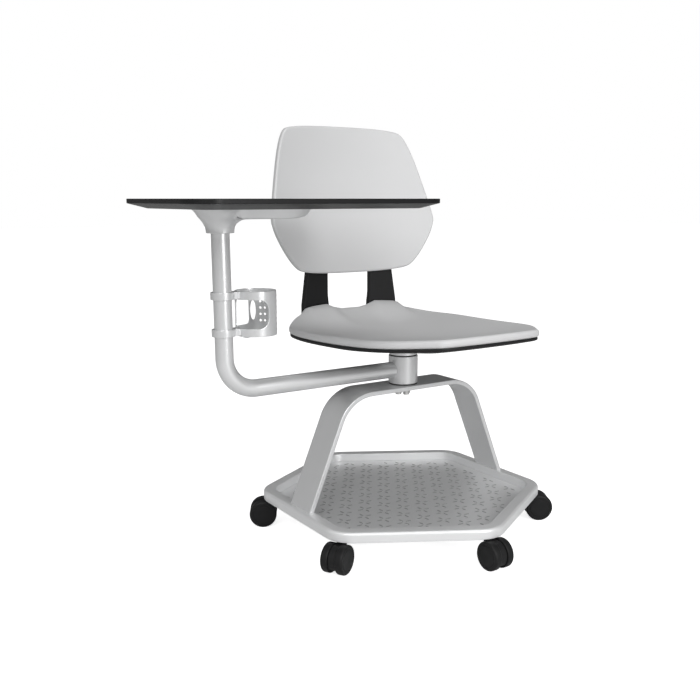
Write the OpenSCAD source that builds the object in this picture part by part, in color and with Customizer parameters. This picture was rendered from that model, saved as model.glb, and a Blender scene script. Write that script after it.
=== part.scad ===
// Student desk chair: six-sided castor tray base, arched strap, swivel seat with a
// reclined back, and a tablet desk with a cup holder on a swinging arm.
// Millimetres, +Z up. Origin on the floor under the swivel column.
// The sitter faces -Y, so the tablet arm is on the sitter's right, at -X.

/* [Tray base] */
// Radius from the column to the unrounded tray corners
tray_r = 320; // [300:1:340]
// Height of the tray rim's top face above the floor
rim_top = 84; // [82:0.5:88]
// Width of the rim's top face
rim_w = 27; // [24:1:30]
// Height of the rim's outer wall
rim_h = 21.5; // [20:0.5:23]
// Corner radius of the outer wall
rim_corner = 64; // [40:1:70]
// Depth from the rim's top face to the tray floor
tray_depth = 19.5; // [17:0.5:20]

/* [Arched strap] */
// Width of the flat bar
strap_w = 80; // [60:1:90]
// Thickness of the flat bar
strap_t = 10; // [8:0.5:10]
// Height of the strap's top face above the floor
strap_top = 321; // [310:1:330]
// Lean of the legs away from vertical, degrees
leg_lean = 22.5; // [20:0.5:25]
// Half distance between the legs' inner faces at the rim
leg_foot_x = 253; // [250:0.5:254]
// Inner radius of the two bends
strap_bend = 78; // [60:1:90]

/* [Column] */
// Outer radius of the turning sleeve
sleeve_r = 32; // [30:0.5:34]
// Top of the sleeve above the floor
sleeve_top = 383.5; // [378:0.5:384]
// Radius of the fixed spindle
spindle_r = 16; // [14:0.5:18]
// Radial running clearance of the spindle and the pivots
run_gap = 0.05; // [0.02:0.01:0.1]

/* [Tablet arm] */
// Outer radius of the bent tube
tube_r = 17.5; // [15:0.5:19]
// Wall thickness of the bent tube
tube_wall = 2.5; // [2:0.5:3]
// Distance from the column to the upright post
arm_reach = 423; // [415:1:430]
// Height of the tube's centre line where it leaves the sleeve
arm_z = 353; // [348:1:354]
// Radius of the bend, on the centre line
arm_bend = 65; // [55:1:75]
// Top of the post, inside the tablet bracket
post_top = 690; // [680:1:694]

/* [Tablet] */
// Width of the board, sitter's right to left
board_w = 494; // [440:1:500]
// Depth of the board, front to back
board_d = 334; // [300:1:340]
// Thickness of the board's square edge
board_edge = 8; // [6:0.5:10]
// Further depth of the sloping underside
board_slope = 9; // [7:0.5:10]
// How far the slope runs in from the edge
slope_run = 34; // [25:1:38]
// Height of the board's top face above the floor
board_top = 716.4; // [714:0.1:718]

/* [Cup holder] */
// Outer radius of the cage
cage_r = 40; // [38:0.5:41]
// Height of the cage
cage_h = 86; // [80:1:90]
// Bottom of the cage above the floor
cage_z = 459; // [455:1:465]
// Height of the top and bottom bands
band_h = 16; // [12:1:18]

/* [Seat and back] */
// Thickness of the seat pad at its edge
pad_t = 16; // [14:1:18]
// Depth of the dish in the middle of the pad
dish = 12; // [6:1:13]
// Height of the middle of the pad's edge at its lowest, beside the sitter
edge_low = 439.5; // [438:0.5:445]
// Rise of the pad's edge towards the front
front_lift = 17; // [8:1:20]
// Rise of the pad's edge at the back
rear_curl = 20; // [12:1:24]
// Thickness of the back shell
back_t = 16; // [14:1:18]
// Backward lean of the back, as a slope
recline = 0.17; // [0.12:0.01:0.2]
// Radius of the back's wrap round the sitter
wrap_r = 540; // [500:10:700]

/* [Castors] */
// Wheel radius
wheel_r = 30; // [29:0.5:30]
// Width of one wheel of the pair
wheel_w = 16; // [14:0.5:17]
// Width over both wheels
pair_w = 48; // [46:0.5:50]
// Distance from the column to each castor's stem
stem_r = 292; // [290:0.5:293]
// Trail from the stem to the axle
trail = 20; // [18:0.5:21]

/* [Hidden] */
castor_names = ["a", "b", "c", "d", "e", "f"];

silver = "#c6c7c8";
shell_grey = "#d3d4d5";
black = "#1f1f20";
zinc = "#a9abad";
$fn = 96;
eps = 0.01;

rim_bottom = rim_top - rim_h;
floor_top = rim_top - tray_depth;
side_apothem = tray_r * cos(30);
inner_r = (side_apothem - rim_w) / cos(30);
inner_corner = rim_corner - rim_w;
corner_angles = [for (k = [0 : 5]) 30 + 60 * k];

// ---------- shapes used by several pieces ----------

// A regular hexagon with flat sides towards +X and -X and round corners.
module round_hexagon(r, corner) {
  centre_r = r - corner / cos(30);
  union() {
    polygon([for (a = corner_angles) for (s = [-30, 30])
      [centre_r * cos(a) + corner * cos(a + s), centre_r * sin(a) + corner * sin(a + s)]]);
    for (a = corner_angles) rotate(a) translate([centre_r, 0]) circle(r = corner);
  }
}

// A rectangle with round corners, its low corner at the origin.
module round_rectangle(w, d, r) {
  union() {
    translate([r, 0]) square([w - 2 * r, d]);
    translate([0, r]) square([w, d - 2 * r]);
    for (x = [r, w - r]) for (y = [r, d - r]) translate([x, y]) circle(r = r);
  }
}

// A straight slot shape along X with round ends, centred on the origin.
module stadium(length, width) {
  union() {
    square([length - width, width], center = true);
    for (s = [-1, 1]) translate([s * (length - width) / 2, 0]) circle(r = width / 2);
  }
}

// A pan-head screw standing on z = 0 with its shank going down.
module screw(head_r, head_h, shank_r, shank_l) {
  union() {
    difference() {
      cylinder(r = head_r, h = head_h);
      translate([0, 0, head_h - head_h / 2]) cylinder(r = head_r * 0.5, h = head_h, $fn = 6);
    }
    translate([0, 0, -shank_l]) cylinder(r = shank_r, h = shank_l + eps);
  }
}

// Points of a closed smooth outline that is steered by a few corner points.
function smooth_outline(corners, steps) =
  let (n = len(corners))
  [for (i = [0 : n - 1]) for (k = [0 : steps - 1])
    let (a = (corners[(i + n - 1) % n] + corners[i]) / 2,
         b = corners[i],
         c = (corners[i] + corners[(i + 1) % n]) / 2,
         t = k / steps)
    a * (1 - t) * (1 - t) + b * 2 * t * (1 - t) + c * t * t];

// The corner points of one half, followed by their mirror images in reverse.
function both_sides(half) =
  concat(half, [for (i = [len(half) - 1 : -1 : 0]) [-half[i][0], half[i][1]]]);

// Faces between successive rings of n points, closed at both ends by a fan to a tip point.
function ring_faces(rings, n) =
  concat(
    [for (k = [0 : n - 1]) [0, 1 + (k + 1) % n, 1 + k]],
    [for (r = [0 : rings - 2]) for (k = [0 : n - 1])
      [1 + r * n + k, 1 + r * n + (k + 1) % n, 1 + (r + 1) * n + (k + 1) % n]],
    [for (r = [0 : rings - 2]) for (k = [0 : n - 1])
      [1 + r * n + k, 1 + (r + 1) * n + (k + 1) % n, 1 + (r + 1) * n + k]],
    [for (k = [0 : n - 1])
      [1 + rings * n, 1 + (rings - 1) * n + k, 1 + (rings - 1) * n + (k + 1) % n]]);

// ---------- tray base ----------

module tray_rim() {
  chamfer = 3;
  color(silver) difference() {
    union() {
      translate([0, 0, rim_bottom]) linear_extrude(rim_h - chamfer) round_hexagon(tray_r, rim_corner);
      translate([0, 0, rim_top - chamfer - eps]) linear_extrude(chamfer / 2 + eps)
        round_hexagon(tray_r - 1.2, rim_corner - 1);
      translate([0, 0, rim_top - chamfer / 2 - eps]) linear_extrude(chamfer / 2 + eps)
        round_hexagon(tray_r - 3.6, rim_corner - 3);
    }
    translate([0, 0, rim_bottom - 1]) linear_extrude(rim_h + 2) round_hexagon(inner_r, inner_corner);
    for (a = corner_angles)
      rotate(a) translate([stem_r, 0, rim_bottom - 1]) cylinder(r = 8, h = 19);
  }
}

tread_x = 25.2;
tread_y = 72.6;

// Short raised grip bars in staggered columns, turned by a quarter from one column to the next.
module tread_bars() {
  for (i = [-9 : 9]) for (j = [-4 : 4]) {
    x = i * tread_x;
    y = (j + abs(i % 2) / 2) * tread_y;
    reach = max(abs(x), abs(x) / 2 + abs(y) * cos(30));
    if (reach < side_apothem - rim_w - 24)
      translate([x, y, floor_top - eps]) rotate(90 * abs(i % 2))
        translate([-7, -1.5, 0]) cube([14, 3, 0.8]);
  }
}

module tray_floor() {
  color(zinc) union() {
    translate([0, 0, rim_bottom]) linear_extrude(floor_top - rim_bottom)
      round_hexagon(inner_r, inner_corner);
    tread_bars();
  }
}

// ---------- arched strap ----------

strap_under = strap_top - strap_t;
bend_z = strap_under - strap_bend;
bend_x = leg_foot_x - tan(leg_lean) * (bend_z + strap_bend * sin(leg_lean) - rim_top)
  - strap_bend * cos(leg_lean);

// Points along the +X bend at radius r, between two angles.
function bend_arc(r, from, to) =
  [for (k = [0 : 16]) let (a = from + (to - from) * k / 16) [bend_x + r * cos(a), bend_z + r * sin(a)]];

// One half of the bent bar seen from the front, from the top's middle to the foot and back.
half_strap = concat(
  bend_arc(strap_bend + strap_t, 90, leg_lean),
  [[leg_foot_x + strap_t / cos(leg_lean), rim_top], [leg_foot_x, rim_top]],
  bend_arc(strap_bend, leg_lean, 90));

bolt_circle = 12;
bolt_angles = [0, 90, 180, 270];
bolt_head_h = 14;

module support_strap() {
  color(silver) difference() {
    translate([0, strap_w / 2, 0]) rotate([90, 0, 0]) linear_extrude(strap_w)
      polygon(both_sides(half_strap));
    for (a = bolt_angles)
      rotate(a) translate([bolt_circle, 0, strap_under - 1]) cylinder(r = 4.2, h = strap_t + 2);
  }
}

// ---------- column ----------

washer_t = 2;
sleeve_bottom = strap_top + washer_t;
flange_h = 8;
flange_r = 25;
bush_r = 24;
hub_bottom = sleeve_top + 2.3;
shaft_top = hub_bottom + 9.7;

module column_spindle() {
  color(zinc) difference() {
    union() {
      translate([0, 0, strap_top]) cylinder(r = flange_r, h = flange_h);
      translate([0, 0, strap_top]) cylinder(r = spindle_r, h = shaft_top - strap_top);
      translate([0, 0, shaft_top - eps]) cylinder(r = 8, h = 9);
    }
    for (a = bolt_angles)
      rotate(a) translate([bolt_circle, 0, strap_top - 1]) cylinder(r = 4, h = 7);
  }
}

module spindle_bolts() {
  color(zinc) for (a = bolt_angles)
    rotate(a) translate([bolt_circle, 0, strap_under]) rotate([180, 0, 0])
      screw(6.5, bolt_head_h, 4, strap_t + 5.5);
}

module spindle_nut() {
  color(zinc) difference() {
    union() {
      translate([0, 0, shaft_top]) cylinder(r = 21, h = 2);
      translate([0, 0, shaft_top + 2]) cylinder(r = 13, h = 6, $fn = 6);
    }
    translate([0, 0, shaft_top - 1]) cylinder(r = 8, h = 12);
  }
}

module thrust_washer() {
  color(black) translate([0, 0, strap_top]) difference() {
    cylinder(r = sleeve_r - 0.5, h = washer_t - 0.2);
    translate([0, 0, -1]) cylinder(r = flange_r + 1, h = washer_t + 2);
  }
}

module column_sleeve() {
  color(silver) difference() {
    translate([0, 0, sleeve_bottom]) cylinder(r = sleeve_r, h = sleeve_top - sleeve_bottom);
    translate([0, 0, sleeve_bottom - 1]) cylinder(r = bush_r, h = sleeve_top - sleeve_bottom + 2);
    translate([0, 0, sleeve_bottom - 1]) cylinder(r = flange_r + 1, h = flange_h + 1);
  }
}

module bush(z, h) {
  difference() {
    translate([0, 0, z]) cylinder(r = bush_r, h = h);
    translate([0, 0, z - 1]) cylinder(r = spindle_r + run_gap, h = h + 2);
  }
}

module lower_bush() {
  color(black) bush(sleeve_bottom + flange_h, 16);
}

module upper_bush() {
  color(black) union() {
    bush(sleeve_top - 16, 16 + eps);
    difference() {
      translate([0, 0, sleeve_top]) cylinder(r = 30, h = 2);
      translate([0, 0, sleeve_top - 1]) cylinder(r = spindle_r + run_gap, h = 4);
    }
  }
}

// ---------- tablet arm ----------

// The bent tube as a solid bar of radius r: out from the column, round the bend, up the post.
module arm_bar(r, top) {
  union() {
    translate([0, 0, arm_z]) rotate([0, -90, 0]) cylinder(r = r, h = arm_reach - arm_bend);
    translate([arm_bend - arm_reach, 0, arm_z + arm_bend]) rotate([90, 0, 0])
      rotate([0, 0, 180]) rotate_extrude(angle = 90) translate([arm_bend, 0]) circle(r = r);
    translate([-arm_reach, 0, arm_z + arm_bend]) cylinder(r = r, h = top - arm_z - arm_bend);
  }
}

module arm_tube() {
  color(silver) difference() {
    arm_bar(tube_r, post_top);
    arm_bar(tube_r - tube_wall, post_top + 1);
    translate([0, 0, arm_z - 40]) cylinder(r = sleeve_r, h = 80);
  }
}

module post_plug() {
  color(black) translate([-arm_reach, 0, 0]) union() {
    translate([0, 0, post_top - 14]) cylinder(r = tube_r - tube_wall, h = 14);
    translate([0, 0, post_top]) cylinder(r = tube_r, h = 2);
  }
}

// ---------- cup holder ----------

cage_wall = 3;
cage_x = 29 + cage_r;
spine_w = 22;
clamp_h = 14;
clamp_heights = [cage_z + 2, cage_z + cage_h - clamp_h];

module holder_clamps() {
  color(silver) for (z = clamp_heights) translate([-arm_reach, 0, z]) difference() {
    union() {
      cylinder(r = tube_r + 5, h = clamp_h);
      translate([0, -spine_w / 2, 0]) cube([26, spine_w, clamp_h]);
    }
    translate([0, 0, -1]) cylinder(r = tube_r, h = clamp_h + 2);
    for (y = [-7, 7]) translate([26 + eps, y, clamp_h / 2]) rotate([0, -90, 0])
      cylinder(r = 1.6, h = 5);
  }
}

module clamp_screws() {
  color(zinc) for (z = clamp_heights) for (y = [-7, 7])
    translate([-arm_reach + 28.8, y, z + clamp_h / 2]) rotate([0, 90, 0])
      screw(3, 1.4, 1.6, 7);
}

// A window through the cage wall: the prism between two directions, with round corners.
module cage_window(from, to, corner) {
  half = (to - from) / 2;
  width = 2 * cage_r * sin(min(half, 80));
  height = cage_h - 2 * band_h;
  rotate(from + half) translate([cage_r * cos(half) * 0.5, 0, band_h + height / 2])
    rotate([90, 0, 90]) linear_extrude(cage_r)
      translate([-width / 2, -height / 2]) round_rectangle(width, height, corner);
}

module cup_holder_cage() {
  color(silver) translate([-arm_reach + cage_x, 0, cage_z]) difference() {
    union() {
      cylinder(r = cage_r, h = cage_h);
      for (z = clamp_heights) translate([-cage_r - 3, -spine_w / 2, z - cage_z])
        cube([8, spine_w, clamp_h]);
    }
    translate([0, 0, -1]) cylinder(r = cage_r - cage_wall, h = cage_h + 2);
    cage_window(165, 282, 18);
    cage_window(84, 152, 8);
    cage_window(-16, 20, 8);
    rotate(72) translate([cage_r - 6, 0, cage_h / 2]) rotate([0, 90, 0])
      scale([3.3, 1, 1]) cylinder(r = 5.5, h = 12);
    for (a = [36, 50]) for (k = [0 : 3])
      rotate(a) translate([cage_r - 6, 0, cage_h / 2 - 20.5 + 12.5 * k]) rotate([0, 90, 0])
        cylinder(r = 2.3, h = 10);
    for (z = clamp_heights) for (y = [-7, 7])
      translate([-cage_r - 4, y, z + clamp_h / 2 - cage_z]) rotate([0, 90, 0])
        cylinder(r = 1.7, h = 12);
    for (z = clamp_heights) for (y = [-7, 7])
      translate([-cage_r - 0.2, y, z + clamp_h / 2 - cage_z]) rotate([0, 90, 0])
        cylinder(r = 3.2, h = 10);
  }
}

module cup_holder_floor() {
  lip = 8;
  color(silver) translate([-arm_reach + cage_x, 0, cage_z]) union() {
    difference() {
      cylinder(r = cage_r - cage_wall, h = 3);
      translate([0, 0, -1]) cylinder(r = cage_r - cage_wall - lip, h = 5);
    }
    for (a = [0, 90]) rotate(a) translate([-cage_r + cage_wall + 1, -5, 0])
      cube([2 * (cage_r - cage_wall - 1), 10, 3]);
    rotate(209) translate([cage_r - cage_wall - 6, -6, -2]) cube([5.5, 12, 2 + eps]);
  }
}

// ---------- tablet ----------

board_bottom = board_top - board_edge - board_slope;
board_low = [-588, -268];
bracket_mid = 69;
bracket_length = 246;
bracket_width = 108;
collar_bottom = 654;
set_screw_rise = 26;
bracket_holes = [-30, bracket_mid, bracket_mid + 90];

// 0 below low, 1 above high and a smooth rise between.
function ease(value, low, high) =
  let (t = min(max((value - low) / (high - low), 0), 1)) t * t * (3 - 2 * t);

// Distance from the post to the dish's upper outline, a slot shape, in one direction.
function dish_reach(turn) =
  let (half = bracket_width / 2,
       centre = bracket_mid + bracket_length / 2 - half,
       flat = half / max(abs(sin(turn)), eps))
  cos(turn) <= eps ? half
  : flat * cos(turn) <= centre ? flat
  : centre * cos(turn) + sqrt(half * half - pow(centre * sin(turn), 2));

// Radius and rise of the casting's skin above the collar's foot, in one direction: a trumpet
// round the post that turns into a shallow dish towards the middle of the board.
function dish_profile(turn) =
  let (reach = dish_reach(turn),
       full = board_bottom - collar_bottom,
       tip = ease(reach, 150, 185),
       wing = ease(reach, bracket_width / 2, bracket_width / 2 + 10),
       belly = full - 20 + 3.5 * tip,
       short = [[33.2, 21.5], [36.6, 25.5], [39.8, 29.5], [42.2, 33], [46.8, 39.5],
                [bracket_width / 2, full]],
       long = [[36, 21], [42, 24], [reach - 18 - 8 * tip, belly], [reach - 12 - 5 * tip, belly + 1.5],
               [reach - 9 - 3 * tip, belly + 4.5], [reach, full]])
  concat([[25.4, 0], [26.5, 1], [27.6, 11], [30, 16.5]],
    [for (i = [0 : 5]) short[i] * (1 - wing) + long[i] * wing]);

module tablet_bracket() {
  turns = [for (k = [0 : 59]) -6 * k];
  profiles = [for (turn = turns) dish_profile(turn)];
  rings = len(profiles[0]);
  skin = [for (i = [0 : rings - 1]) for (k = [0 : len(turns) - 1])
    let (p = profiles[k][i]) [p[0] * cos(turns[k]), p[0] * sin(turns[k]), p[1]]];
  color(silver) translate([-arm_reach, 0, collar_bottom]) difference() {
    polyhedron(
      points = concat([[0, 0, 0]], skin, [[0, 0, board_bottom - collar_bottom]]),
      faces = ring_faces(rings, len(turns)), convexity = 4);
    translate([0, 0, -1]) cylinder(r = tube_r + run_gap, h = post_top - collar_bottom + 4);
    for (s = [-1, 1]) rotate(-120 + s * 7.5) translate([0, 0, set_screw_rise]) rotate([0, 90, 0])
      cylinder(r = 2.5, h = 60);
    for (x = bracket_holes) for (y = [-24, 24])
      translate([x, y, board_bottom - collar_bottom - 17]) cylinder(r = 2.6, h = 20);
  }
}

module bracket_set_screws() {
  color(zinc) translate([-arm_reach, 0, 0]) for (s = [-1, 1])
    rotate(-120 + s * 7.5) translate([tube_r + 1, 0, collar_bottom + set_screw_rise]) rotate([0, 90, 0])
      difference() {
        cylinder(r = 2.5, h = 12);
        translate([0, 0, 9]) cylinder(r = 1.3, h = 4, $fn = 6);
      }
}

module tablet_board() {
  corner = 50;
  color(black) translate([board_low[0], board_low[1], 0]) union() {
    translate([0, 0, board_top - board_edge]) linear_extrude(board_edge)
      round_rectangle(board_w, board_d, corner);
    hull() {
      translate([1, 1, board_top - board_edge - 0.2]) linear_extrude(0.4)
        round_rectangle(board_w - 2, board_d - 2, corner - 1, $fn = 48);
      translate([slope_run, slope_run, board_bottom]) linear_extrude(0.4)
        round_rectangle(board_w - 2 * slope_run, board_d - 2 * slope_run, 22, $fn = 32);
    }
  }
}

module board_screws() {
  color(zinc) translate([-arm_reach, 0, 0]) for (x = bracket_holes)
    for (y = [-24, 24]) translate([x, y, board_bottom - 12]) rotate([180, 0, 0])
      screw(2.5, 2.5, 2.2, 20);
}

// ---------- seat ----------

hub_r = 30;
plate_bottom = hub_bottom + 22.2;
plate_t = 4;
pan_bottom = plate_bottom + plate_t;
seat_outline = smooth_outline(both_sides(
  [[113, -297], [140, -266], [203, -189], [219, -73], [228, 104], [186, 170], [128, 218]]), 6);
rings_in = 7;

// Height of the middle of the pad's edge: it lifts to the front and curls up at the back.
function edge_height(y) =
  edge_low + front_lift * pow(min(y - 70, 0) / 350, 2) + rear_curl * pow(max(y - 110, 0) / 105, 2.2);

// The pad's surface height at share s of the way from the middle to an outline point.
function pad_top(p, s) = edge_height(s * p[1]) + pad_t / 2 - dish * (1 - s * s);

// A closed skin between an upper and a lower height rule, over the seat outline.
function skin_rings(shares, heights) =
  [for (i = [0 : len(shares) - 1]) for (k = [0 : len(seat_outline) - 1])
    [shares[i] * seat_outline[k][0], shares[i] * seat_outline[k][1], heights[i][k]]];

module seat_pad() {
  n = len(seat_outline);
  inner = [for (i = [1 : rings_in]) i / rings_in * 0.97];
  top = [for (s = inner) [for (p = seat_outline) pad_top(p, s)]];
  under = [for (s = inner) [for (p = seat_outline) pad_top(p, s) - pad_t]];
  wall_shares = [0.993, 1, 1, 0.993];
  wall_drops = [3, pad_t * 0.35, pad_t * 0.65, pad_t - 2];
  wall = [for (d = wall_drops) [for (p = seat_outline) pad_top(p, 1) - d]];
  backwards = [for (i = [rings_in - 1 : -1 : 0]) i];
  shares = concat(inner, wall_shares, [for (i = backwards) inner[i]]);
  heights = concat(top, wall, [for (i = backwards) under[i]]);
  centre = edge_height(0) + pad_t / 2 - dish;
  color(shell_grey) difference() {
    union() {
      polyhedron(
        points = concat([[0, 0, centre]], skin_rings(shares, heights), [[0, 0, centre - pad_t]]),
        faces = ring_faces(len(shares), n), convexity = 4);
      for (side = [-1, 1]) on_side(side) translate([-upright_in, -0.3, tab_low]) rotate([90, 0, 0])
        linear_extrude(8) round_rectangle(upright_in + upright_out - 2, tab_high - tab_low, 6);
    }
    for (side = [-1, 1]) on_side(side) upright_slot();
  }
}

// The pan's underside: flat in the middle, then rising to the rim under the pad. Towards
// the front it starts to rise sooner and more evenly.
function pan_under(p, s) =
  let (rim = edge_height(s * p[1]) - pad_t / 2 - 6.5,
       ahead = ease(-p[1], 60, 200),
       flat = 0.6 - 0.25 * ahead,
       rise = pow(max(s - flat, 0) / (1 - flat), 1.6 - 0.5 * ahead))
  pan_bottom + (rim - pan_bottom) * rise;

module seat_pan() {
  n = len(seat_outline);
  gap = 0.3;
  inset = 0.985;
  inner = [for (i = [1 : rings_in]) i / rings_in * inset];
  top = [for (s = inner) [for (p = seat_outline) pad_top(p, s) - pad_t - gap]];
  under = [for (s = inner) [for (p = seat_outline) pan_under(p, s)]];
  backwards = [for (i = [rings_in - 1 : -1 : 0]) i];
  shares = concat(inner, [for (i = backwards) inner[i]]);
  heights = concat(top, [for (i = backwards) under[i]]);
  centre = edge_height(0) + pad_t / 2 - dish - pad_t - gap;
  color(black) difference() {
    polyhedron(
      points = concat([[0, 0, centre]], skin_rings(shares, heights), [[0, 0, pan_bottom]]),
      faces = ring_faces(len(shares), n), convexity = 4);
    for (side = [-1, 1]) on_side(side) upright_slot();
  }
}

plate_w = 170;
plate_d = 130;
plate_holes = [[-70, -50], [70, -50], [70, 50], [-70, 50]];

module seat_hub() {
  flange_z = plate_bottom - 6;
  color(silver) difference() {
    union() {
      translate([0, 0, hub_bottom]) cylinder(r = hub_r, h = plate_bottom - hub_bottom);
      translate([0, 0, flange_z]) cylinder(r = 46, h = 6);
    }
    translate([0, 0, hub_bottom - 1]) cylinder(r = spindle_r + run_gap, h = 12);
    translate([0, 0, shaft_top - 0.3]) cylinder(r = 22.5, h = 20);
  }
}

module seat_plate() {
  color(black) difference() {
    translate([-plate_w / 2, -plate_d / 2, plate_bottom]) linear_extrude(plate_t)
      round_rectangle(plate_w, plate_d, 14);
    translate([0, 0, plate_bottom - 1]) cylinder(r = 22.5, h = plate_t + 2);
    for (h = plate_holes) translate([h[0], h[1], plate_bottom - 1]) cylinder(r = 3.2, h = plate_t + 2);
  }
}

module plate_screws() {
  color(zinc) for (h = plate_holes) translate([h[0], h[1], plate_bottom]) rotate([180, 0, 0])
    screw(5.5, 3, 3, 11);
}

// ---------- back ----------

upright_in = 34.5;
upright_out = 36.5;
upright_t = 14;
upright_toe = 9;
upright_mid = [91.5, 211.5];
foot_t = 10;
foot_reach = 138;
upright_foot = pan_bottom - foot_t;
lean_from = 573;
blade_top = 700;
blade_screws = [590, 670];
foot_screws = [-124, -94];
tab_low = 450;
tab_high = 477;

// Puts an upright's own frame on one side of the seat: the middle of the upright's front
// face stands on its Z axis, and its X axis points away from the seat's centre line.
module on_side(side) {
  if (side > 0) translate([upright_mid[0], upright_mid[1], 0]) rotate([0, 0, -upright_toe]) children();
  else mirror([1, 0, 0]) on_side(1) children();
}

// The room that an upright needs through the back edge of the pad and the pan.
module upright_slot() {
  gap = 0.3;
  translate([-upright_in - gap, -gap, upright_foot - 10])
    cube([upright_in + upright_out + 2 * gap, upright_t + 20, 120]);
}

// The bar seen from the side: a foot under the pan, a bend, and a blade that leans back.
module upright_side() {
  lean = recline * (blade_top - lean_from);
  heel = 12;
  polygon(concat(
    [[-foot_reach, upright_foot]],
    [for (a = [0 : 15 : 90]) [upright_t - heel + heel * sin(a), upright_foot + heel - heel * cos(a)]],
    [[upright_t, lean_from], [upright_t + lean, blade_top], [lean, blade_top], [0, lean_from],
      [0, pan_bottom], [-foot_reach, pan_bottom]]));
}

// The bar seen from the front: it tapers towards the back shell.
module upright_front() {
  polygon([[-upright_in, upright_foot - 1], [upright_out, upright_foot - 1], [upright_out, 478],
    [25.5, 550], [22, lean_from], [22, blade_top - 8], [14, blade_top + 1], [-26, blade_top + 1],
    [-upright_in, blade_top - 8]]);
}

module upright() {
  difference() {
    intersection() {
      translate([-60, 0, 0]) rotate([90, 0, 90]) linear_extrude(120) upright_side();
      translate([0, 60, 0]) rotate([90, 0, 0]) linear_extrude(240) upright_front();
    }
    for (z = blade_screws) translate([0, -40, z]) rotate([-90, 0, 0]) cylinder(r = 3.2, h = 100);
    for (y = foot_screws) translate([0, y, upright_foot - 1]) cylinder(r = 3.2, h = foot_t + 2);
  }
}

module right_upright() {
  color(black) on_side(-1) upright();
}

module left_upright() {
  color(black) on_side(1) upright();
}

module upright_screws() {
  color(zinc) for (side = [-1, 1]) on_side(side) for (y = foot_screws)
    translate([0, y, upright_foot]) rotate([180, 0, 0]) screw(5.5, 3, 3, foot_t + 7);
}

module back_screws() {
  color(zinc) for (side = [-1, 1]) on_side(side) for (z = blade_screws)
    translate([0, upright_t + recline * (z - lean_from) + 1.2, z]) rotate([-90, 0, 0])
      screw(5.5, 3, 3, 24);
}

back_outline = smooth_outline(both_sides(
  [[132, 548], [172, 574], [221, 653], [215, 696], [172, 855], [134, 878]]), 6);
back_mid = [0, 706];

// Distance of the back's front face behind the column, at a width x and a height z.
function back_front(x, z) = 199 + recline * (z - 548) - x * x / (2 * wrap_r);

function back_ring(share, depth) =
  [for (p = back_outline)
    let (x = back_mid[0] + share * (p[0] - back_mid[0]),
         z = back_mid[1] + share * (p[1] - back_mid[1]))
    [x, back_front(x, z) + depth, z]];

module back_shell() {
  n = len(back_outline);
  inner = [for (i = [1 : 5]) i / 5 * 0.965];
  wall_shares = [0.99, 1, 1, 0.99];
  wall_depths = [2, 5, back_t - 5, back_t - 2];
  front = [for (s = inner) back_ring(s, 0)];
  wall = [for (i = [0 : 3]) back_ring(wall_shares[i], wall_depths[i])];
  rear = [for (i = [4 : -1 : 0]) back_ring(inner[i], back_t)];
  rings = concat(front, wall, rear);
  tip = back_front(back_mid[0], back_mid[1]);
  color(shell_grey) polyhedron(
    points = concat([[0, tip, back_mid[1]]], [for (r = rings) for (p = r) p],
      [[0, tip + back_t, back_mid[1]]]),
    faces = ring_faces(len(rings), n), convexity = 4);
}

// ---------- castors ----------

neck_z = rim_bottom - 4;
socket_flange = 1.5;
stem_pin = 5;
axle_r = 3;

module at_castor(index) {
  rotate(corner_angles[index]) translate([stem_r, 0, 0]) children();
}

module castor_sockets() {
  color(zinc) for (k = [0 : 5]) at_castor(k) difference() {
    union() {
      translate([0, 0, rim_bottom]) cylinder(r = 8, h = 17.5);
      translate([0, 0, rim_bottom - socket_flange]) cylinder(r = 11.5, h = socket_flange + eps);
    }
    translate([0, 0, rim_bottom - 3]) cylinder(r = stem_pin + run_gap, h = 30);
  }
}

module castor_stem(index) {
  color(zinc) at_castor(index) translate([0, 0, 36]) cylinder(r = stem_pin, h = rim_bottom + 15 - 36);
}

module castor_housing(index) {
  web = pair_w - 2 * wheel_w - 1;
  hood_r = 27;
  hood_low = 13;
  neck_top = rim_bottom - socket_flange - 0.4;
  color(black) at_castor(index) difference() {
    union() {
      translate([0, 0, neck_z]) cylinder(r = 11.5, h = neck_top - neck_z);
      translate([0, web / 2, 0]) rotate([90, 0, 0]) linear_extrude(web) difference() {
        union() {
          translate([trail, wheel_r]) circle(r = hood_r);
          polygon([[-8, neck_z + eps], [-7, 40], [trail, wheel_r], [trail, wheel_r + hood_r],
            [10, neck_z + eps]]);
        }
        translate([trail - 40, -20]) square([80, 20 + hood_low]);
      }
    }
    translate([0, 0, 36]) cylinder(r = stem_pin, h = 40);
    translate([trail, web, wheel_r]) rotate([90, 0, 0]) cylinder(r = axle_r + run_gap, h = 2 * web);
  }
}

module castor_axle(index) {
  color(zinc) at_castor(index) translate([trail, pair_w / 2 - 4, wheel_r]) rotate([90, 0, 0])
    cylinder(r = axle_r, h = pair_w - 8);
}

// One wheel, its tyre profile turned about the axle, with a shallow recess in the outer face.
module castor_wheel() {
  round_out = 5;
  round_in = 3;
  difference() {
    rotate_extrude() union() {
      square([wheel_r - round_out, wheel_w]);
      translate([0, round_in]) square([wheel_r, wheel_w - round_in - round_out]);
      square([wheel_r - round_in, wheel_w - round_out]);
      translate([wheel_r - round_out, wheel_w - round_out]) circle(r = round_out);
      translate([wheel_r - round_in, round_in]) circle(r = round_in);
    }
    translate([0, 0, -1]) cylinder(r = axle_r, h = wheel_w - 3);
    translate([0, 0, wheel_w - 1.2]) difference() {
      cylinder(r = 21, h = 3);
      translate([0, 0, -1]) cylinder(r = 9, h = 5);
    }
  }
}

module castor_wheels(index) {
  color(black) at_castor(index) translate([trail, 0, wheel_r]) for (s = [-1, 1])
    rotate([s * 90, 0, 0]) translate([0, 0, pair_w / 2 - wheel_w]) castor_wheel();
}

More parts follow.
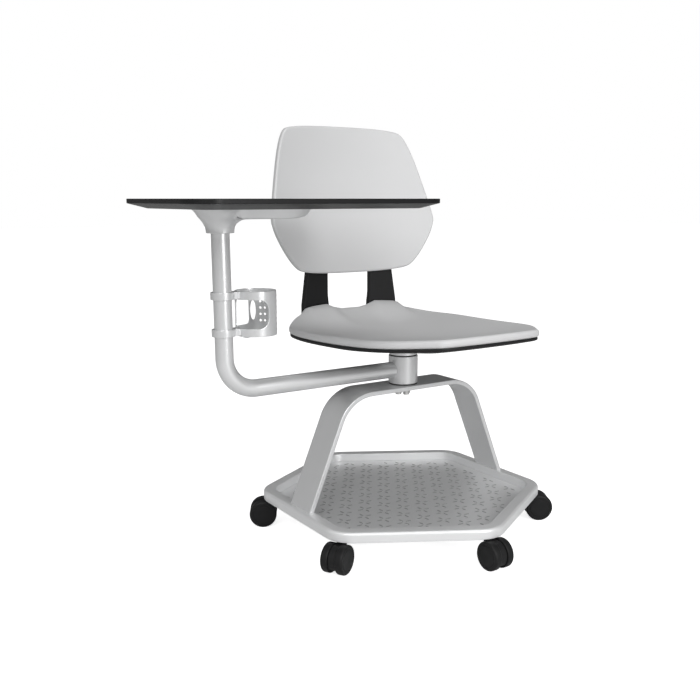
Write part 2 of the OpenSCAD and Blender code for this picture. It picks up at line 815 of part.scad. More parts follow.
tray_rim();
tray_floor();
support_strap();
column_spindle();
spindle_bolts();
spindle_nut();
thrust_washer();
castor_sockets();
column_sleeve();
lower_bush();
upper_bush();
arm_tube();
post_plug();
holder_clamps();
clamp_screws();
cup_holder_cage();
cup_holder_floor();
tablet_bracket();
bracket_set_screws();
tablet_board();
board_screws();
seat_hub();
seat_plate();
plate_screws();
seat_pan();
seat_pad();
right_upright();
left_upright();
upright_screws();
back_shell();
back_screws();
for (k = [0 : 5]) castor_stem(k);
for (k = [0 : 5]) castor_housing(k);
for (k = [0 : 5]) castor_axle(k);
for (k = [0 : 5]) castor_wheels(k);
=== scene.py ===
from math import cos, pi, radians, sin, tan

import bmesh
import bpy
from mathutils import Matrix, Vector


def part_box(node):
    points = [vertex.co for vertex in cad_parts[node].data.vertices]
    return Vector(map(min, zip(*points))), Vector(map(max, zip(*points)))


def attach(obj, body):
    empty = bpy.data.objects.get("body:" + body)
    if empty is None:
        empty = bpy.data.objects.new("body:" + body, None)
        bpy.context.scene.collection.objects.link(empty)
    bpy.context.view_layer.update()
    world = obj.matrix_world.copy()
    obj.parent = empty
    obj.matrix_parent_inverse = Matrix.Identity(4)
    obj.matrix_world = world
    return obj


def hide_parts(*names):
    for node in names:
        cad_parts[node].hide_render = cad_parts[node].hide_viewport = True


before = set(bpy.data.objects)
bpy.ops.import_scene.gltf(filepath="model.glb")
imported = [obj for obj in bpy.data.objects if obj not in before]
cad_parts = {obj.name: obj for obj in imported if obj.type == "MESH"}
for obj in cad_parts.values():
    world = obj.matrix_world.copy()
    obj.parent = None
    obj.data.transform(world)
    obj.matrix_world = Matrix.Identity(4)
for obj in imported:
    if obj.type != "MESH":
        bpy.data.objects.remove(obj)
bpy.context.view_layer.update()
mm = 0.001

# ---------------------------------------------------------------- camera and studio
# A catalogue studio: a near-white floor, a tall soft light in front of the chair, a
# second one high on the camera's side, a third overhead and a pale surround as fill.

scene = bpy.context.scene
camera = bpy.data.objects.new("camera", bpy.data.cameras.new("camera"))
camera.location = (-1.0980, -1.4857, 0.7167)
camera.rotation_euler = (radians(90 - 12.215), 0, radians(-33.84))
camera.data.lens = 44.14
camera.data.sensor_width = 36
camera.data.shift_x = -0.0206
camera.data.shift_y = 0.0489
scene.collection.objects.link(camera)
scene.camera = camera
scene.view_settings.view_transform = "Standard"


def soft_light(name, place, aim, size, power):
    lamp = bpy.data.lights.new(name, "AREA")
    lamp.shape = "RECTANGLE"
    lamp.size, lamp.size_y = size
    lamp.energy = power
    holder = bpy.data.objects.new(name, lamp)
    holder.location = place
    holder.rotation_euler = (Vector(aim) - Vector(place)).to_track_quat("-Z", "Y").to_euler()
    scene.collection.objects.link(holder)


chair_middle = (0, 0, 0.45)
soft_light("key_light", (0.1, -2.9, 1.3), chair_middle, (0.9, 2.0), 36)
soft_light("camera_light", (-2.0, -1.8, 1.9), chair_middle, (1.2, 1.2), 20)
soft_light("top_light", (-0.2, -0.4, 2.9), chair_middle, (1.8, 1.8), 15)

# The air behind the chair is dim to everything but the camera, so that edges turn darker.
studio_air = bpy.data.worlds.new("studio_air")
studio_air.use_nodes = True
air = studio_air.node_tree
direction = air.nodes.new("ShaderNodeTexCoord")
towards = air.nodes.new("ShaderNodeVectorMath")
towards.operation = "DOT_PRODUCT"
towards.inputs[1].default_value = (-0.70, -0.66, 0.25)
air.links.new(direction.outputs["Generated"], towards.inputs[0])
fall = air.nodes.new("ShaderNodeMapRange")
fall.interpolation_type = "SMOOTHSTEP"
fall.inputs["From Min"].default_value = -0.7
fall.inputs["From Max"].default_value = 0.8
fall.inputs["To Min"].default_value = 0.12
fall.inputs["To Max"].default_value = 0.60
air.links.new(towards.outputs["Value"], fall.inputs["Value"])
seen_by = air.nodes.new("ShaderNodeLightPath")
air_level = air.nodes.new("ShaderNodeMix")
air_level.inputs["B"].default_value = 1.0
air.links.new(seen_by.outputs["Is Camera Ray"], air_level.inputs["Factor"])
air.links.new(fall.outputs["Result"], air_level.inputs["A"])
air.nodes["Background"].inputs["Color"].default_value = (1, 1, 1, 1)
air.links.new(air_level.outputs["Result"], air.nodes["Background"].inputs["Strength"])
scene.world = studio_air

# The floor is near white to the camera and mid grey to the chair's underside.
floor_paint = bpy.data.materials.new("floor_paint")
floor_paint.use_nodes = True
paper = floor_paint.node_tree
floor_shader = paper.nodes["Principled BSDF"]
floor_shader.inputs["Roughness"].default_value = 0.9
floor_shader.inputs["Specular IOR Level"].default_value = 0.1
seen_floor = paper.nodes.new("ShaderNodeLightPath")
paper_tone = paper.nodes.new("ShaderNodeMix")
paper_tone.data_type = "RGBA"
paper_tone.inputs["A"].default_value = (0.75, 0.75, 0.75, 1)
paper_tone.inputs["B"].default_value = (0.95, 0.95, 0.95, 1)
paper.links.new(seen_floor.outputs["Is Camera Ray"], paper_tone.inputs["Factor"])
paper.links.new(paper_tone.outputs["Result"], floor_shader.inputs["Base Color"])
paper_glow = paper.nodes.new("ShaderNodeMath")
paper_glow.operation = "MULTIPLY"
paper_glow.inputs[1].default_value = 0.8
paper.links.new(seen_floor.outputs["Is Camera Ray"], paper_glow.inputs[0])
floor_shader.inputs["Emission Color"].default_value = (1, 1, 1, 1)
paper.links.new(paper_glow.outputs["Value"], floor_shader.inputs["Emission Strength"])
bpy.ops.mesh.primitive_plane_add(size=40)
floor = bpy.context.object
floor.name = "studio_floor"
floor.data.materials.append(floor_paint)

# ---------------------------------------------------------------- tray rim
# The rim is an aluminium casting, six sides with round corners, its outer top edge well
# rounded. It is sprayed with a satin silver coat and carries a castor at each corner.


def node_group(name, takes, gives):
    """An empty shader node group with named float or colour sockets and its two end nodes."""
    group = bpy.data.node_groups.new(name, "ShaderNodeTree")
    for label, kind, value in takes:
        socket = group.interface.new_socket(label, in_out="INPUT", socket_type=kind)
        socket.default_value = value
    for label, kind in gives:
        group.interface.new_socket(label, in_out="OUTPUT", socket_type=kind)
    return group, group.nodes.new("NodeGroupInput"), group.nodes.new("NodeGroupOutput")


def sprayed_grain():
    """Fine orange peel and a broad, faint change of tone over a sprayed or moulded skin."""
    takes = [
        ("Light", "NodeSocketColor", (0.6, 0.6, 0.6, 1)),
        ("Dark", "NodeSocketColor", (0.5, 0.5, 0.5, 1)),
        ("Smoothest", "NodeSocketFloat", 0.3),
        ("Roughest", "NodeSocketFloat", 0.4),
        ("Grain", "NodeSocketFloat", 900.0),
        ("Stretch", "NodeSocketFloat", 1.0),
    ]
    gives = [
        ("Color", "NodeSocketColor"),
        ("Roughness", "NodeSocketFloat"),
        ("Height", "NodeSocketFloat"),
    ]
    group, start, end = node_group("sprayed_grain", takes, gives)
    place = group.nodes.new("ShaderNodeTexCoord")
    squeeze = group.nodes.new("ShaderNodeCombineXYZ")
    stretched = group.nodes.new("ShaderNodeVectorMath")
    stretched.operation = "MULTIPLY"
    squeeze.inputs["X"].default_value = 1
    squeeze.inputs["Y"].default_value = 1
    group.links.new(start.outputs["Stretch"], squeeze.inputs["Z"])
    group.links.new(place.outputs["Object"], stretched.inputs[0])
    group.links.new(squeeze.outputs["Vector"], stretched.inputs[1])
    grain = group.nodes.new("ShaderNodeTexNoise")
    grain.inputs["Detail"].default_value = 3
    group.links.new(stretched.outputs["Vector"], grain.inputs["Vector"])
    group.links.new(start.outputs["Grain"], grain.inputs["Scale"])
    cloud = group.nodes.new("ShaderNodeTexNoise")
    cloud.inputs["Scale"].default_value = 7
    cloud.inputs["Detail"].default_value = 4
    group.links.new(place.outputs["Object"], cloud.inputs["Vector"])
    tone = group.nodes.new("ShaderNodeMix")
    tone.data_type = "RGBA"
    group.links.new(cloud.outputs["Fac"], tone.inputs["Factor"])
    group.links.new(start.outputs["Dark"], tone.inputs["A"])
    group.links.new(start.outputs["Light"], tone.inputs["B"])
    shine = group.nodes.new("ShaderNodeMapRange")
    group.links.new(grain.outputs["Fac"], shine.inputs["Value"])
    group.links.new(start.outputs["Smoothest"], shine.inputs["To Min"])
    group.links.new(start.outputs["Roughest"], shine.inputs["To Max"])
    group.links.new(tone.outputs["Result"], end.inputs["Color"])
    group.links.new(shine.outputs["Result"], end.inputs["Roughness"])
    group.links.new(grain.outputs["Fac"], end.inputs["Height"])
    return group


skin_effect = sprayed_grain()


def finish(name, light, dark, roughness, grain, depth, metallic=0.0, gloss=0.5, stretch=1.0):
    """A material whose tone, gloss and relief vary over the surface, on one Principled shader."""
    material = bpy.data.materials.new(name)
    material.use_nodes = True
    tree = material.node_tree
    shader = tree.nodes["Principled BSDF"]
    shader.inputs["Metallic"].default_value = metallic
    shader.inputs["Specular IOR Level"].default_value = gloss
    effect = tree.nodes.new("ShaderNodeGroup")
    effect.node_tree = skin_effect
    effect.inputs["Light"].default_value = (*light, 1)
    effect.inputs["Dark"].default_value = (*dark, 1)
    effect.inputs["Smoothest"].default_value = roughness[0]
    effect.inputs["Roughest"].default_value = roughness[1]
    effect.inputs["Grain"].default_value = grain
    effect.inputs["Stretch"].default_value = stretch
    relief = tree.nodes.new("ShaderNodeBump")
    relief.inputs["Strength"].default_value = 0.6
    relief.inputs["Distance"].default_value = depth
    tree.links.new(effect.outputs["Color"], shader.inputs["Base Color"])
    tree.links.new(effect.outputs["Roughness"], shader.inputs["Roughness"])
    tree.links.new(effect.outputs["Height"], relief.inputs["Height"])
    tree.links.new(relief.outputs["Normal"], shader.inputs["Normal"])
    return material


def piece(name, points, faces, material, slot, body, stands_for, crease=32):
    """A mesh piece in millimetres, smooth up to the crease angle, riding on a CAD body."""
    mesh = bpy.data.meshes.new(name)
    mesh.from_pydata([Vector(p) * mm for p in points], [], faces)
    shape = bmesh.new()
    shape.from_mesh(mesh)
    bmesh.ops.recalc_face_normals(shape, faces=shape.faces)
    shape.to_mesh(mesh)
    shape.free()
    mesh.materials.append(material)
    mesh.shade_smooth()
    mesh.set_sharp_from_angle(angle=radians(crease))
    thing = bpy.data.objects.new(name, mesh)
    scene.collection.objects.link(thing)
    even = thing.modifiers.new("even_shading", "WEIGHTED_NORMAL")
    even.keep_sharp = True
    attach(thing, body)
    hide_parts(*stands_for)
    return thing


def loft(rings, ends="cap"):
    """Points and faces of a skin through closed rings, with capped ends or joined end to end."""
    count = len(rings[0])
    points = [p for ring in rings for p in ring]
    faces = []
    spans = len(rings) if ends == "join" else len(rings) - 1
    for r in range(spans):
        this, that = r * count, (r + 1) % len(rings) * count
        for k in range(count):
            step = (k + 1) % count
            faces.append((this + k, this + step, that + step, that + k))
    if ends == "cap":
        faces.append(tuple(range(count)))
        faces.append(tuple(range(len(points) - count, len(points))))
    return points, faces


def arc(middle, radius, start, stop, steps):
    """Points along an arc in a plane, angles in degrees."""
    angles = [radians(start + (stop - start) * k / steps) for k in range(steps + 1)]
    return [(middle[0] + radius * cos(a), middle[1] + radius * sin(a)) for a in angles]


tray_radius, rim_corner, rim_width = 320, 64, 27
rim_low, rim_high = [corner.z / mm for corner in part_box("tray_rim")]
corner_angles = [30 + 60 * k for k in range(6)]


def tray_ring(inset, height):
    """The rim's rounded six-sided outline, moved in by inset, at one height."""
    centre = tray_radius - rim_corner / cos(radians(30))
    ring = []
    for corner in corner_angles:
        x, y = centre * cos(radians(corner)), centre * sin(radians(corner))
        ring += [(*p, height) for p in arc((x, y), rim_corner - inset, corner - 30, corner + 30, 14)]
    return ring


rim_section = (
    arc((1.5, rim_low + 1.5), 1.5, 270, 180, 3)
    + arc((6.5, rim_high - 6.5), 6.5, 180, 90, 8)
    + arc((rim_width - 2.5, rim_high - 2.5), 2.5, 90, 0, 5)
    + arc((rim_width - 1, rim_low + 1), 1, 0, -90, 2)
)
silver_cast = finish("silver_cast", (0.88, 0.885, 0.89), (0.82, 0.825, 0.83), (0.34, 0.46),
                     grain=160, depth=0.00005, metallic=0.45, stretch=9.0)
piece("rim", *loft([tray_ring(*p) for p in rim_section], "join"), silver_cast, "cast_silver", "base",
      ["tray_rim"])

# ---------------------------------------------------------------- tray floor
# The floor is a sheet of brushed aluminium tread plate, pressed up in crosses of four
# short lens-shaped bars in staggered columns, with a small bead where it meets the rim.

floor_low = rim_low
floor_high = rim_high - 19.5
inner_apothem = tray_radius * cos(radians(30)) - rim_width
bead = [(5.5, 0), (3.2, 0.1), (2.2, 0.8), (1.2, 1.3), (0.3, 1.0), (0.15, 0)]
plate_rings = [tray_ring(rim_width + inset, floor_high + rise) for inset, rise in bead]
plate_rings.append(tray_ring(rim_width + 0.15, floor_low + 0.05))
tread_sheet = loft(plate_rings)


def add_part(points, faces, more):
    """Adds another part's points and faces to a piece that is being collected."""
    start = len(points)
    points += more[0]
    faces += [tuple(start + k for k in face) for face in more[1]]


bar_length, bar_half_w, bar_rise, bar_sunk = 14.4, 2.4, 0.95, 0.4


def grip_bar(x, y, along_y):
    """One raised bar: a slim lens with a bell-shaped section, sunk a little into the sheet."""
    rings = []
    for k in range(7):
        t = -1 + k / 3
        swell = max(1 - t * t, 0.02) ** 0.5
        section = [(bar_half_w * (1 - k / 4), bar_rise * sin(radians(22.5 * k)) ** 1.4) for k in range(9)]
        section += [(-bar_half_w, -bar_sunk), (bar_half_w, -bar_sunk)]
        ring = []
        for across, up in section:
            a, b = bar_length / 2 * t, across * swell
            px, py = (b, a) if along_y else (a, b)
            ring.append((x + px, y + py, floor_high + (up * swell if up > 0 else up)))
        rings.append(ring)
    return loft(rings)


grip_points, grip_faces = [], []
site_x, site_y, bar_offset = 25.2, 72.6, 11
plain_margin = 20
for i in range(-11, 12):
    for j in range(-5, 6):
        x, y = i * site_x, (j + (i % 2) / 2) * site_y
        for bx, by in ((bar_offset, 0), (-bar_offset, 0), (0, bar_offset), (0, -bar_offset)):
            reach = max(abs(x + bx), abs(x + bx) / 2 + abs(y + by) * cos(radians(30)))
            if reach < inner_apothem - plain_margin:
                add_part(grip_points, grip_faces, grip_bar(x + bx, y + by, bx == 0))
brushed_tread = finish("brushed_tread", (0.89, 0.895, 0.90), (0.82, 0.825, 0.83), (0.38, 0.48),
                       grain=260, depth=0.00003, metallic=0.55, stretch=0.2)
# The bars are coloured much darker than the sheet they are pressed from: painted shade that stands for
# the dark strokes on their shaded sides.
bars_in_painted_shade = finish("bars_in_painted_shade", (0.52, 0.522, 0.525), (0.46, 0.462, 0.465), (0.42, 0.50),
                      grain=900, depth=0.00002, metallic=0.7)
piece("tread_sheet", *tread_sheet, brushed_tread, "tread_plate", "base", ["tray_floor"])
piece("tread_bars", grip_points, grip_faces, bars_in_painted_shade, "tread_plate", "base", ["tray_floor"],
      crease=80)

# ---------------------------------------------------------------- support strap
# One flat steel bar, 80 by 10 mm, bent hot into an arch and welded to two sides of the
# rim. Its long edges are broken, and it is powder coated in the silver of the column.

strap_half, strap_t, strap_lean = 40, 10, 22.5
strap_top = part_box("support_strap")[1].z / mm
bend_steps = 20
bend_r = 78 + strap_t / 2
bend_z = strap_top - strap_t / 2 - bend_r
foot_x = 253 + strap_t / 2 / cos(radians(strap_lean))
bend_x = foot_x - tan(radians(strap_lean)) * (bend_z + bend_r * sin(radians(strap_lean)) - rim_high)
bend_x -= bend_r * cos(radians(strap_lean))


def rounded_box_ring(half_w, half_t, radius, steps=3):
    """A rectangle with round corners as (across, through) points."""
    ring = []
    for corner, (sx, sy) in enumerate(((1, 1), (-1, 1), (-1, -1), (1, -1))):
        middle = (sx * (half_w - radius), sy * (half_t - radius))
        ring += arc(middle, radius, 90 * corner, 90 * corner + 90, steps)
    return ring


strap_path = [(foot_x, rim_high, strap_lean)]
for k in range(bend_steps + 1):
    slant = strap_lean + (90 - strap_lean) * k / bend_steps
    x, z = bend_x + bend_r * cos(radians(slant)), bend_z + bend_r * sin(radians(slant))
    strap_path.append((x, z, slant))
strap_section = rounded_box_ring(strap_half, strap_t / 2, 1.6)


def strap_ring(x, z, slant, cut_level):
    """The bar's section where its outer face looks up at slant; a foot is cut level with the rim."""
    out_x, out_z = cos(radians(slant)), sin(radians(slant))
    ring = []
    for across, through in strap_section:
        px, pz = x + out_x * through, z + out_z * through
        if cut_level:
            run = (rim_high - pz) / out_x
            px, pz = px - out_z * run, pz + out_x * run
        ring.append((px, across, pz))
    return ring


strap_rings = [strap_ring(*place, cut_level=k == 0) for k, place in enumerate(strap_path)]
strap_rings += [[(-x, y, z) for x, y, z in ring] for ring in reversed(strap_rings)]
silver_coat = finish("silver_coat", (0.80, 0.805, 0.81), (0.74, 0.745, 0.75), (0.26, 0.34),
                     grain=1100, depth=0.00003, metallic=0.5)
piece("arch_strap", *loft(strap_rings), silver_coat, "silver_paint", "base", ["support_strap"])

# ---------------------------------------------------------------- column
# The sleeve is a turned steel tube that swings on the spindle, coated like the strap.
# The hub above it is part of the seat. Spindle, bolts, nut and sockets are zinc plated.


def lathe(profile, x, y, steps=72, ends="cap"):
    """A profile of (radius, height) points turned about an upright axis at x, y."""
    rings = []
    for r, z in profile:
        rings.append([(x + r * cos(2 * pi * k / steps), y + r * sin(2 * pi * k / steps), z)
                      for k in range(steps)])
    return loft(rings, ends)


sleeve_low, sleeve_high = [corner.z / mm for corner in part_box("column_sleeve")]
sleeve_r, sleeve_bore = 32, 24.2
sleeve_profile = (
    [(sleeve_bore, sleeve_low), (sleeve_r - 1.2, sleeve_low)]
    + arc((sleeve_r - 1.2, sleeve_low + 1.2), 1.2, 300, 360, 2)
    + arc((sleeve_r - 1.2, sleeve_high - 1.2), 1.2, 0, 90, 3)
    + [(sleeve_bore, sleeve_high)]
)
piece("sleeve", *lathe(sleeve_profile, 0, 0, ends="join"), silver_coat, "silver_paint", "arm",
      ["column_sleeve"])

zinc = finish("zinc", (0.66, 0.66, 0.65), (0.56, 0.56, 0.55), (0.22, 0.36),
              grain=700, depth=0.00003, metallic=0.9)
nylon = finish("nylon", (0.012, 0.012, 0.0125), (0.009, 0.009, 0.0095), (0.40, 0.52),
               grain=1400, depth=0.00003, gloss=0.25)


def dress(names, material):
    """Gives CAD nodes that keep their own shape a finished material."""
    for name in names:
        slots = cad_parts[name].data.materials
        slots.clear()
        slots.append(material)


dress(["column_spindle", "spindle_bolts", "spindle_nut", "castor_sockets", "clamp_screws",
       "bracket_set_screws", "board_screws", "plate_screws", "upright_screws", "back_screws"], zinc)
dress(["thrust_washer", "lower_bush", "upper_bush", "post_plug"], nylon)
dress(["seat_hub"], silver_coat)

# ---------------------------------------------------------------- tablet arm
# A 35 mm steel tube welded to the sleeve: straight out under the seat, one bend, and up
# as the post that the tablet turns on.

arm_reach, arm_z, arm_bend, tube_r = 423, 353, 65, 17.5
post_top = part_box("arm_tube")[1].z / mm


def tube_ring(x, z, tilt):
    """A circle round the tube's centre line, where tilt is the line's angle above level."""
    ring = []
    for k in range(48):
        a = 2 * pi * k / 48
        flat, side = tube_r * cos(a), tube_r * sin(a)
        ring.append((x + flat * sin(radians(tilt)), side, z + flat * cos(radians(tilt))))
    return ring


arm_rings = [tube_ring(-sleeve_r + 3, arm_z, 0)]
for k in range(29):
    turn = 90 * k / 28
    x = -(arm_reach - arm_bend) - arm_bend * sin(radians(turn))
    z = arm_z + arm_bend - arm_bend * cos(radians(turn))
    arm_rings.append(tube_ring(x, z, turn))
arm_rings.append(tube_ring(-arm_reach, post_top, 90))
piece("arm_and_post", *loft(arm_rings), silver_coat, "silver_paint", "arm", ["arm_tube"])

# ---------------------------------------------------------------- cup holder
# The cage is pressed from steel sheet, pierced with windows and finger-sized holes, rolled
# into a cup, and screwed to two clamps round the post. Its floor is an open cross.


def sheet_from(outlines, thickness, edge, grid=None):
    """A flat sheet with holes and softly rounded edges: the first outline is the outside."""
    curve = bpy.data.curves.new("sheet_outline", "CURVE")
    curve.dimensions = "2D"
    curve.fill_mode = "BOTH"
    curve.extrude = (thickness / 2 - edge) * mm
    curve.bevel_depth = edge * mm
    curve.bevel_resolution = 1
    curve.offset = -edge * mm
    for outline in outlines:
        spline = curve.splines.new("POLY")
        spline.points.add(len(outline) - 1)
        for point, (x, y) in zip(spline.points, outline):
            point.co = (x * mm, y * mm, 0, 1)
        spline.use_cyclic_u = True
    drawn = bpy.data.objects.new("sheet_outline", curve)
    mesh = bpy.data.meshes.new_from_object(drawn)
    shape = bmesh.new()
    shape.from_mesh(mesh)
    bmesh.ops.remove_doubles(shape, verts=shape.verts, dist=0.00001)
    low, high = min(v.co.x for v in shape.verts), max(v.co.x for v in shape.verts)
    cuts = int((high - low) / (grid * mm)) if grid else 0
    for k in range(1, cuts):
        level = low + (high - low) * k / cuts
        everything = shape.verts[:] + shape.edges[:] + shape.faces[:]
        bmesh.ops.bisect_plane(shape, geom=everything, plane_co=(level, 0, 0), plane_no=(1, 0, 0))
    bmesh.ops.triangulate(shape, faces=[f for f in shape.faces if len(f.verts) > 4])
    points = [(v.co.x / mm, v.co.y / mm, v.co.z / mm) for v in shape.verts]
    shape.verts.index_update()
    faces = [tuple(v.index for v in f.verts) for f in shape.faces]
    shape.free()
    bpy.data.meshes.remove(mesh)
    bpy.data.objects.remove(drawn)
    bpy.data.curves.remove(curve)
    return points, faces


def rounded_rectangle(low, high, radius, steps=6):
    """A rectangle with round corners, counter-clockwise from its right side."""
    points = []
    corners = ((high[0], high[1], -1, -1), (low[0], high[1], 1, -1), (low[0], low[1], 1, 1),
               (high[0], low[1], -1, 1))
    for turn, (x, y, sx, sy) in enumerate(corners):
        points += arc((x + sx * radius, y + sy * radius), radius, 90 * turn, 90 * turn + 90, steps)
    return points


def round_hole(x, y, radius, steps=16):
    return [(x + radius * cos(-2 * pi * k / steps), y + radius * sin(-2 * pi * k / steps))
            for k in range(steps)]


cage_low, cage_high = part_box("cup_holder_cage")
cage_bottom, cage_top = cage_low.z / mm, cage_high.z / mm
cage_r, cage_wall, band = 40, 3, 15.5
cage_x = cage_high.x / mm - cage_r
cage_height = cage_top - cage_bottom
per_degree = 2 * pi * (cage_r - cage_wall / 2) / 360
seam = 160


def cage_window(start, stop, start_radius, stop_radius):
    """A window between the bands and two directions, as a hole in the flat sheet."""
    left, right = start * per_degree, stop * per_degree
    low, high = band, cage_height - band
    hole = []
    for x, y, r, turn in ((right, high, stop_radius, 0), (left, high, start_radius, 90),
                          (left, low, start_radius, 180), (right, low, stop_radius, 270)):
        middle = (x - r if x == right else x + r, y - r if y == high else y + r)
        hole += arc(middle, r, turn, turn + 90, 8)
    return hole[::-1]


seam_gap = 0.4
sheet_start, sheet_end = (seam + seam_gap) * per_degree, (seam + 360 - seam_gap) * per_degree
cage_outlines = [rounded_rectangle((sheet_start, 0), (sheet_end, cage_height), 0.6, 2)]
for start, stop, start_radius, stop_radius in ((166, 282, 9, 21), (344, 380, 8, 8), (445, 511, 9, 12)):
    cage_outlines.append(cage_window(start, stop, start_radius, stop_radius))
lens_x, lens_half_w, lens_half_h = 432 * per_degree, 5.4, 19
lens_turns = [radians(-10 * k) for k in range(36)]
cage_outlines.append([(lens_x + lens_half_w * cos(a), cage_height / 2 + lens_half_h * sin(a))
                      for a in lens_turns])
hole_r, hole_pitch, lowest_hole = 2.4, 12.5, cage_height / 2 - 20.5
for direction in (396, 410):
    for row in range(4):
        y = lowest_hole + hole_pitch * row
        cage_outlines.append(round_hole(direction * per_degree, y, hole_r))
flat_points, cage_faces = sheet_from(cage_outlines, cage_wall, 0.8, grid=3)
cage_points = []
for x, y, z in flat_points:
    turn, r = radians(x / per_degree), cage_r - cage_wall / 2 + z
    cage_points.append((cage_x + r * cos(turn), r * sin(turn), cage_bottom + y))
for low in (cage_bottom + 2, cage_top - 14):
    pad_rings = []
    for z, shrink in ((low, 1), (low + 1, 0), (low + 13, 0), (low + 14, 1)):
        ring = rounded_box_ring(3.5 - shrink / 2, 11 - shrink, 1)
        pad_rings.append([(-arm_reach + 29.5 + a, b, z) for a, b in ring])
    add_part(cage_points, cage_faces, loft(pad_rings))
ridge_section = ((0, -1.6), (0.9, -0.9), (1.2, 0), (0.9, 0.9), (0, 1.6), (-0.5, 0))
for rung in range(7):
    z = cage_bottom + 10 + 11 * rung
    ridge_rings = []
    for k, swell in enumerate((0.1, 0.9, 1, 0.9, 0.1)):
        turn = radians(318 + 4 * k)
        ring = []
        for up, side in ridge_section:
            r = cage_r - 0.3 + up * swell
            ring.append((cage_x + r * cos(turn), r * sin(turn), z + side * (0.4 + swell)))
        ridge_rings.append(ring)
    add_part(cage_points, cage_faces, loft(ridge_rings))
piece("cup_cage", cage_points, cage_faces, silver_coat, "silver_paint", "arm", ["cup_holder_cage"])

floor_r = cage_r - cage_wall
cross = []
for quarter in range(4):
    start = 90 * quarter + 22
    hole = arc((0, 0), floor_r - 8, start + 46, start, 8)
    cross.append(hole + [(9 * cos(radians(start + a)), 9 * sin(radians(start + a))) for a in (8, 38)])
floor_turns = [2 * pi * k / 64 for k in range(64)]
floor_outline = [(floor_r * cos(a), floor_r * sin(a)) for a in floor_turns]
flat_points, floor_faces = sheet_from([floor_outline] + cross, 3, 0.6)
floor_points = [(cage_x + x, y, cage_bottom + 1.5 + z) for x, y, z in flat_points]
tab_turn = radians(209)
tab_rings = []
for z in (-2.2, -1.6, 0.5):
    ring = rounded_box_ring(3 - (z < -2), 6 - (z < -2), 1.5)
    tab_rings.append([(cage_x + (floor_r - 3.5 + a) * cos(tab_turn) - b * sin(tab_turn),
                       (floor_r - 3.5 + a) * sin(tab_turn) + b * cos(tab_turn), cage_bottom + z)
                      for a, b in ring])
add_part(floor_points, floor_faces, loft(tab_rings))
piece("cup_floor", floor_points, floor_faces, silver_coat, "silver_paint", "arm", ["cup_holder_floor"])

clamp_outline = arc((0, 0), tube_r + 5, 29.3, 330.7, 56) + [(26, -11), (26, 11)]
clamp_hole = [(tube_r * cos(-2 * pi * k / 64), tube_r * sin(-2 * pi * k / 64)) for k in range(64)]
clamp_points, clamp_faces = [], []
for low in (cage_bottom + 2, cage_top - 14):
    flat_points, flat_faces = sheet_from([clamp_outline, clamp_hole], 14, 0.9)
    ring_points = [(-arm_reach + x, y, low + 7 + z) for x, y, z in flat_points]
    add_part(clamp_points, clamp_faces, (ring_points, flat_faces))
piece("post_clamps", clamp_points, clamp_faces, silver_coat, "silver_paint", "arm", ["holder_clamps"])

# ---------------------------------------------------------------- tablet bracket
# One aluminium casting: a collar on the post that flares into a shallow dish, screwed to
# the board's underside and coated silver. Two set screws in the collar hold it.

board_low, board_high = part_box("tablet_board")
board_bottom = board_low.z / mm
dish_low, dish_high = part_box("tablet_bracket")
dish_mid = (dish_low.x + dish_high.x) / 2 / mm
dish_half_l, dish_half_w = (dish_high.x - dish_low.x) / 2 / mm, dish_high.y / mm
collar_bottom = dish_low.z / mm

# The casting's profile as (radius, rise): the collar, then the short side's trumpet.
collar_steps = [(25.4, 0), (26.2, 0.8), (26.5, 6), (27.6, 11), (30, 16.5)]
short_steps = [(33.2, 21.5), (36.6, 25.5), (39.8, 29.5), (42.2, 33), (44.4, 36.5),
               (46.8, 39.5), (49.6, 42.2), (52.2, 44.3), (54, 45.3)]


def ease(value, low, high):
    """0 below low, 1 above high and a smooth rise between."""
    t = min(max((value - low) / (high - low), 0), 1)
    return t * t * (3 - 2 * t)


def dish_reach(turn):
    """Distance from the post to the dish's upper outline in one direction."""
    run = dish_half_l - dish_half_w
    centre = dish_mid + run + arm_reach
    flat = dish_half_w / max(abs(sin(turn)), 1e-6)
    if cos(turn) <= 0 or flat * cos(turn) <= centre:
        return max(flat, dish_half_w) if cos(turn) > 0 else dish_half_w
    return centre * cos(turn) + (dish_half_w ** 2 - (centre * sin(turn)) ** 2) ** 0.5


def dish_profile(turn):
    """The casting's skin from the collar's foot to the board, in one direction."""
    reach = dish_reach(turn)
    tip = ease(reach, 150, 190)
    wing = ease(reach, dish_half_w, dish_half_w + 10)
    edge_z = 25.4 + 3.5 * tip
    long_steps = [
        (36, 21), (42, 24), (50, 25.2),
        (reach - 18 - 8 * tip, edge_z), (reach - 13 - 6 * tip, edge_z + 0.5),
        (reach - 10.5 - 4 * tip, edge_z + 2), (reach - 9 - 3 * tip, edge_z + 4.5),
        (reach - 3.5 - tip, edge_z + 14), (reach, 45.3),
    ]
    steps = [(a[0] + (b[0] - a[0]) * wing, a[1] + (b[1] - a[1]) * wing)
             for a, b in zip(short_steps, long_steps)]
    return collar_steps + steps


dish_turns = [radians(2.5 * k) for k in range(144)]
dish_rings = []
for k in range(14):
    ring = []
    for turn in dish_turns:
        r, rise = dish_profile(turn)[k]
        ring.append((-arm_reach + r * cos(turn), r * sin(turn), collar_bottom + rise))
    dish_rings.append(ring)
bore = tube_r + 0.1
dish_rings.insert(0, [(-arm_reach + bore * cos(a), bore * sin(a), collar_bottom) for a in dish_turns])
dish_rings.append([(-arm_reach + bore * cos(a), bore * sin(a), board_bottom - 0.1) for a in dish_turns])
piece("board_bracket", *loft(dish_rings, "join"), silver_coat, "silver_paint", "tablet",
      ["tablet_bracket"], crease=40)

# ---------------------------------------------------------------- tablet board
# A laminate-faced board whose black edge is square above and planed to a long slope
# below. The top is a dark fine-grained laminate and the edge is polished black.

slope_run, edge_h, corner_r, low_corner_r = 34, 8, 50, 22
board_x = [board_low.x / mm, board_high.x / mm]
board_y = [board_low.y / mm, board_high.y / mm]
board_top = board_high.z / mm


